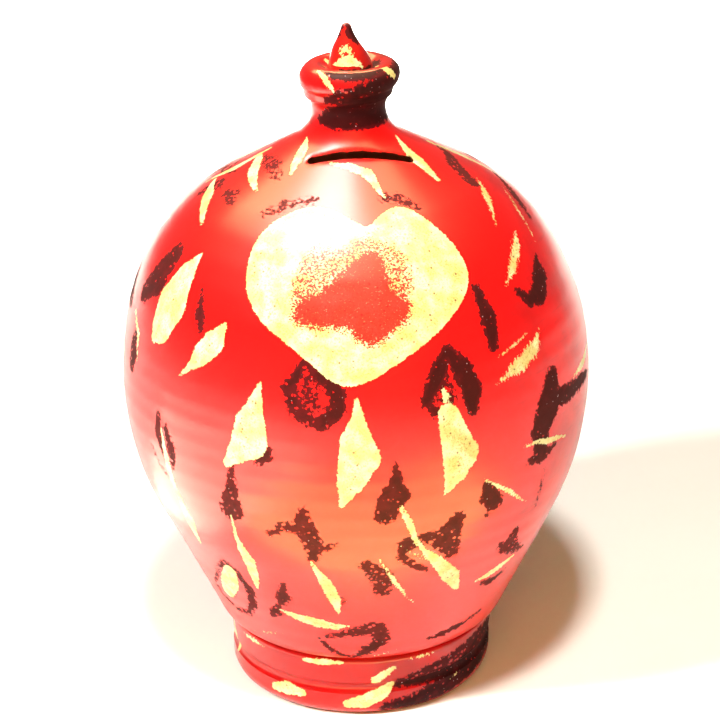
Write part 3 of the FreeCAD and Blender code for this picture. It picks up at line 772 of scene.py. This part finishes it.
def varnished_paint(name, ground, ground_dark, coat_rough):
    """Red paint with sponged black, sandy gold over it, and a thick clear varnish on top. The black also lays
    painted shade in the crease round the finial and on the foot's right side, the gold a painted highlight on
    the finial, and the black's pale pink specks are painted glints.
    """
    n = Nodes(name)
    cloud = n.step(n.noise(14, 3, 0.55), 0.35, 0.75)
    hairline = n.step(n.noise(1.1, 2, 0.6, (0.12, 0.12, 1)), 0.56, 0.74)
    base = n.mix(n.math("MULTIPLY", cloud, 0.45), ground, ground_dark)
    base = n.mix(n.math("MULTIPLY", hairline, 0.22), base, ground_dark)

    grain = n.step(n.noise(0.85, 3, 0.62), 0.30, 0.70)
    holes = n.step(n.cells(1.7), 0.50, 0.12)
    pores = n.math("ADD", n.math("MULTIPLY", grain, 0.60), n.math("MULTIPLY", holes, 0.50))
    black = n.step(n.math("SUBTRACT", n.stored("black"), pores), -0.10, 0.10)
    solid = n.step(n.math("SUBTRACT", n.stored("black"), n.noise(3.2, 2, 0.5)), 0.18, 0.46)
    # the black sponge's colour, which also paints the shade of the finial's crease and of the foot's right
    # side
    black_and_shade = n.mix(solid, MAROON, BLACK)
    # painted highlights: tiny pale pink glints dotted over the black, where light would catch its sponged
    # texture
    painted_glints = n.math("MULTIPLY", n.step(n.cells(1.3), 0.15, 0.07), n.step(n.noise(2.2), 0.50, 0.60))
    black_and_shade = n.mix(n.math("MULTIPLY", painted_glints, 0.5), black_and_shade, PAINTED_GLINT)
    base = n.mix(n.math("MULTIPLY", black, 0.94), base, black_and_shade)

    edge = n.math("MULTIPLY", n.math("SUBTRACT", n.noise(0.8, 2, 0.65), 0.5), 1.5)
    worn = n.step(n.noise(0.6, 3, 0.7, (1, 1, 0.4)), 0.30, 0.62)
    thin = n.math("MULTIPLY", n.math("SUBTRACT", 1.0, n.stored("gold_body")), worn)
    reach = n.math("SUBTRACT", n.math("ADD", n.stored("gold"), edge), n.math("MULTIPLY", thin, 2.6))
    brushed_gold = n.step(reach, -0.12, 0.16)
    heart_gold = n.step(n.math("ADD", n.stored("heart"), n.math("MULTIPLY", edge, 0.8)), -0.10, 0.12)
    gold = n.math("MAXIMUM", brushed_gold, heart_gold)
    sand = n.noise(0.55, 3, 0.7)
    metal = n.mix(n.step(n.noise(4.5, 2, 0.5), 0.30, 0.68), PALE_GOLD, GOLD)
    inner = n.step(n.math("MAXIMUM", n.stored("gold"), n.stored("heart")), 0.3, 1.6)
    metal = n.mix(n.math("MULTIPLY", n.step(sand, 0.47, 0.66), n.math("MULTIPLY", inner, 0.62)), metal, OCHRE)
    speck = n.math("MULTIPLY", n.step(n.cells(1.5), 0.26, 0.14), n.step(n.noise(3.5, 1, 0.5), 0.46, 0.56))
    speck = n.math("MULTIPLY", speck, inner)
    metal = n.mix(n.math("MULTIPLY", speck, 0.8), metal, SPECK)
    base = n.mix(gold, base, metal)

    stipple = n.step(n.noise(0.6, 3, 0.7, (1, 1, 1.3)), 0.32, 0.68)
    dab = n.step(n.math("SUBTRACT", n.stored("blush"), n.math("MULTIPLY", stipple, 0.88)), -0.10, 0.10)
    base = n.mix(n.math("MULTIPLY", dab, 0.97), base, BLUSH)

    bare = n.step(n.math("ADD", n.stored("bare"), n.math("MULTIPLY", grain, 0.6)), 0.5, 1.1)
    base = n.mix(bare, base, DARK_CLAY)

    raised = n.math("ADD", n.math("MULTIPLY", gold, 0.7), n.math("MULTIPLY", black, 0.25))
    relief = n.math("ADD", raised, n.math("MULTIPLY", sand, n.math("MULTIPLY", gold, 0.5)))
    normal = n.bump(relief, 0.10, 0.7, n.bump(n.noise(2.6, 2, 0.5), 0.05, 0.5))
    dry = n.math("MULTIPLY", n.math("SUBTRACT", 1.0, gold), black)
    rough = n.math("ADD", n.math("ADD", 0.42, n.math("MULTIPLY", dry, 0.30)), n.math("MULTIPLY", gold, 0.08))
    varnished = n.math("SUBTRACT", 1.0, n.math("MULTIPLY", dry, 0.97))
    shine = n.math("SUBTRACT", varnished, n.math("MULTIPLY", gold, 0.35))
    return n.surface(base, rough, normal, coat=shine, coat_rough=coat_rough, specular=0.10)


def bare_clay():
    """The unpainted terracotta under the foot and inside the pot."""
    n = Nodes("bare_clay")
    grit = n.noise(0.6, 4, 0.7)
    base = n.mix(n.step(n.noise(9, 3, 0.6), 0.3, 0.7), CLAY, DARK_CLAY)
    base = n.mix(n.math("MULTIPLY", n.step(n.cells(2.2), 0.22, 0.10), 0.5), base, CLAY_GRIT)
    rings = n.noise(1.6, 3, 0.5, (0.2, 0.2, 1))
    normal = n.bump(n.math("ADD", grit, rings), 0.25, 0.7)
    return n.surface(base, n.math("ADD", 0.72, n.math("MULTIPLY", grit, 0.2)), normal, specular=0.3)


# ---------------------------------------------------------------- the pieces

back_gold, back_black = back_marks()
all_gold = GOLD_MARKS + back_gold
all_black = BLACK_MARKS + back_black
clay = bare_clay()

foot = lathe("painted_foot", trace(FOOT_OUTSIDE, 0.45) + trace(FOOT_INSIDE, 1.5)[1:-1])
bowl = lathe("painted_bowl", (
    trace(BOWL_UNDERSIDE, COARSE)[:-1] + trace(BOWL_OUTSIDE, FINE)[:-1] + trace(BOWL_INSIDE, COARSE)
))
dome = lathe("painted_dome", (
    trace(DOME_INSIDE, COARSE)[:-1] + trace(DOME_OUTSIDE[:4], FINE)[:-1]
    + trace(DOME_OUTSIDE[3:], FINER)[:-1] + trace(DOME_TOP, COARSE)
))
neck = lathe("painted_neck", (
    trace(NECK_DISH[::-1], 0.5)[:-1] + trace(NECK_OUTSIDE, 0.35)[::-1] + [(0.0, SEAM_HEIGHT)]
))
finial = lathe("painted_finial", trace(FINIAL_SEAT, 1.0)[:-1] + trace(FINIAL_OUTSIDE, 0.3))
soften_slot(dome)
cut_slot(dome)

for piece in (foot, bowl, dome):
    paint(piece, all_gold, all_black)
paint(neck, all_gold, all_black, all_over=True)
paint(finial, FINIAL_GOLD, FINIAL_BLACK, all_over=True)

body_paint = varnished_paint("varnished_red_body", RED, DEEP_RED, 0.27)
foot_paint = varnished_paint("varnished_red_foot", colour(180, 8, 8), colour(126, 5, 8), 0.14)
knob_paint = varnished_paint("varnished_red_knob", colour(186, 10, 10), colour(96, 4, 8), 0.12)
finial_paint = varnished_paint("varnished_red_finial", colour(190, 22, 12), colour(110, 8, 8), 0.12)

BARE_LIMIT = 1.1


def dress(piece, node, finish):
    """Gives a piece its paint outside and bare clay elsewhere, and stands it in for its CAD node."""
    piece.data.materials.append(finish)
    piece.data.materials.append(clay)
    bare = np.empty(len(piece.data.vertices))
    piece.data.attributes["bare"].data.foreach_get("value", bare)
    unpainted = [int(bare[list(face.vertices)].min() > BARE_LIMIT) for face in piece.data.polygons]
    piece.data.polygons.foreach_set("material_index", unpainted)
    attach(piece, "root")
    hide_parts(node)


dress(foot, "foot_ring", foot_paint)
dress(bowl, "lower_bowl", body_paint)
dress(dome, "shoulder_dome", body_paint)
dress(neck, "knob_neck", knob_paint)
dress(finial, "knob_finial", finial_paint)


# ---------------------------------------------------------------- floor, light and camera


TABLE_HALF = 4.0


def floor():
    """A wide pale table top."""
    mesh = bpy.data.meshes.new("floor")
    sides = [(-1, -1), (1, -1), (1, 1), (-1, 1)]
    mesh.from_pydata([(x * TABLE_HALF, y * TABLE_HALF, 0) for x, y in sides], [], [(0, 1, 2, 3)])
    obj = bpy.data.objects.new("floor", mesh)
    bpy.context.scene.collection.objects.link(obj)
    n = Nodes("pale_table")
    base = n.mix(n.noise(60, 3, 0.5), colour(252, 246, 234), colour(248, 240, 226))
    mesh.materials.append(n.surface(base, 0.9, n.bump(n.noise(3, 2), 0.02, 0.2), specular=0.0))


def area_light(name, place, target, size, power, tint=(1, 1, 1)):
    lamp = bpy.data.lights.new(name, "AREA")
    lamp.shape = "RECTANGLE"
    lamp.size, lamp.size_y = size
    lamp.energy = power
    lamp.color = tint
    obj = bpy.data.objects.new(name, lamp)
    obj.location = place
    obj.rotation_euler = (Vector(target) - Vector(place)).to_track_quat("-Z", "Y").to_euler()
    bpy.context.scene.collection.objects.link(obj)
    return obj


POT_MIDDLE = (0.0, 0.0, 0.09)
KEY_SIZE = (0.12, 0.12)
COOL = (0.92, 0.97, 1.0)
AMBER = (1.0, 0.68, 0.28)
NEARLY_WHITE = (1.0, 0.99, 0.99)
YELLOW_GLOW = (1.0, 0.74, 0.32)
ORANGE = (1.0, 0.58, 0.14)
PEACH = (1.0, 0.80, 0.60)
BACKDROP = (1.0, 0.98, 0.96, 1.0)
BACKDROP_SEEN = 1.1


def card(name, place, target, size, power, tint):
    """A glowing card that shows only where the varnish reflects it."""
    obj = area_light(name, place, target, size, power, tint)
    obj.visible_camera = False
    obj.visible_diffuse = False


def studio():
    """Two keys, a warm fill, a light on the table behind, and cards for the varnish to reflect."""
    front = area_light("front_key", (-0.03, -0.48, 1.10), POT_MIDDLE, KEY_SIZE, 14.5, COOL)
    left = area_light("left_key", (-0.80, -0.45, 0.85), POT_MIDDLE, KEY_SIZE, 20.0, COOL)
    fill = area_light("fill", (0.10, -1.10, 0.90), POT_MIDDLE, (1.0, 0.8), 9.0, AMBER)
    for lamp in (front, left, fill):
        lamp.visible_glossy = False
    behind = area_light("table_behind", (0.0, 1.10, 0.90), (0.0, 0.90, 0.0), (0.80, 0.50), 30.0)
    behind.data.spread = math.radians(50)
    card("sky_card", (-0.21, 0.02, 1.10), POT_MIDDLE, (0.52, 0.46), 34.0, NEARLY_WHITE)
    card("glow_card", (-0.06, 0.20, 1.12), POT_MIDDLE, (1.10, 1.60), 74.0, YELLOW_GLOW)
    card("warm_card", (0.01, -0.130, 0.002), (0.01, -0.130, 1.0), (0.24, 0.13), 1.1, ORANGE)
    card("white_card", (-0.22, -0.11, 0.002), (-0.22, -0.11, 1.0), (0.26, 0.34), 1.7, PEACH)
    surroundings()
    bpy.context.scene.view_settings.view_transform = "Standard"


def surroundings():
    """A dim backdrop, brighter low down, that only the camera sees as white."""
    world = bpy.data.worlds.new("studio")
    bpy.context.scene.world = world
    world.use_nodes = True
    tree = world.node_tree
    height = tree.nodes.new("ShaderNodeSeparateXYZ")
    tree.links.new(tree.nodes.new("ShaderNodeTexCoord").outputs["Generated"], height.inputs[0])
    fade = tree.nodes.new("ShaderNodeMapRange")
    fade.interpolation_type = "SMOOTHSTEP"
    tree.links.new(height.outputs["Z"], fade.inputs["Value"])
    fade.inputs["From Min"].default_value = 0.05
    fade.inputs["From Max"].default_value = 0.55
    fade.inputs["To Min"].default_value = 0.16
    fade.inputs["To Max"].default_value = 0.08
    backdrop = tree.nodes.new("ShaderNodeMix")
    seen = tree.nodes.new("ShaderNodeLightPath").outputs["Is Camera Ray"]
    tree.links.new(seen, backdrop.inputs[NUMBER_SHARE])
    tree.links.new(fade.outputs["Result"], backdrop.inputs[NUMBER_FIRST])
    backdrop.inputs[NUMBER_SECOND].default_value = BACKDROP_SEEN
    tree.links.new(backdrop.outputs[NUMBER_RESULT], tree.nodes["Background"].inputs["Strength"])
    tree.nodes["Background"].inputs["Color"].default_value = BACKDROP


CAMERA_AZIMUTH = math.radians(-3.3)
CAMERA_ELEVATION = math.radians(23.1)
CAMERA_DISTANCE = 0.7124
CAMERA_ROLL = math.radians(1.58)
AIM_HEIGHT = 0.0904
AIM_RIGHT = 0.0012
LENS_LENGTH = 131.0
SENSOR_WIDTH = 36.0
NEAR_LIMIT = 0.01


def camera():
    """Looks down at the pot from the front, turned a little to the left and rolled very slightly."""
    out = Vector((math.sin(CAMERA_AZIMUTH), -math.cos(CAMERA_AZIMUTH), 0)) * math.cos(CAMERA_ELEVATION)
    out.z = math.sin(CAMERA_ELEVATION)
    level = Vector((math.cos(CAMERA_AZIMUTH), math.sin(CAMERA_AZIMUTH), 0))
    up = out.cross(level)
    right = level * math.cos(CAMERA_ROLL) - up * math.sin(CAMERA_ROLL)
    up = out.cross(right)
    aim = Vector((0, 0, AIM_HEIGHT)) + level * AIM_RIGHT
    lens = bpy.data.cameras.new("camera")
    lens.sensor_width = SENSOR_WIDTH
    lens.lens = LENS_LENGTH
    lens.clip_start = NEAR_LIMIT
    obj = bpy.data.objects.new("camera", lens)
    turn = Matrix((right, up, out)).transposed().to_4x4()
    obj.matrix_world = Matrix.Translation(aim + out * CAMERA_DISTANCE) @ turn
    bpy.context.scene.collection.objects.link(obj)
    bpy.context.scene.camera = obj


floor()
studio()
camera()
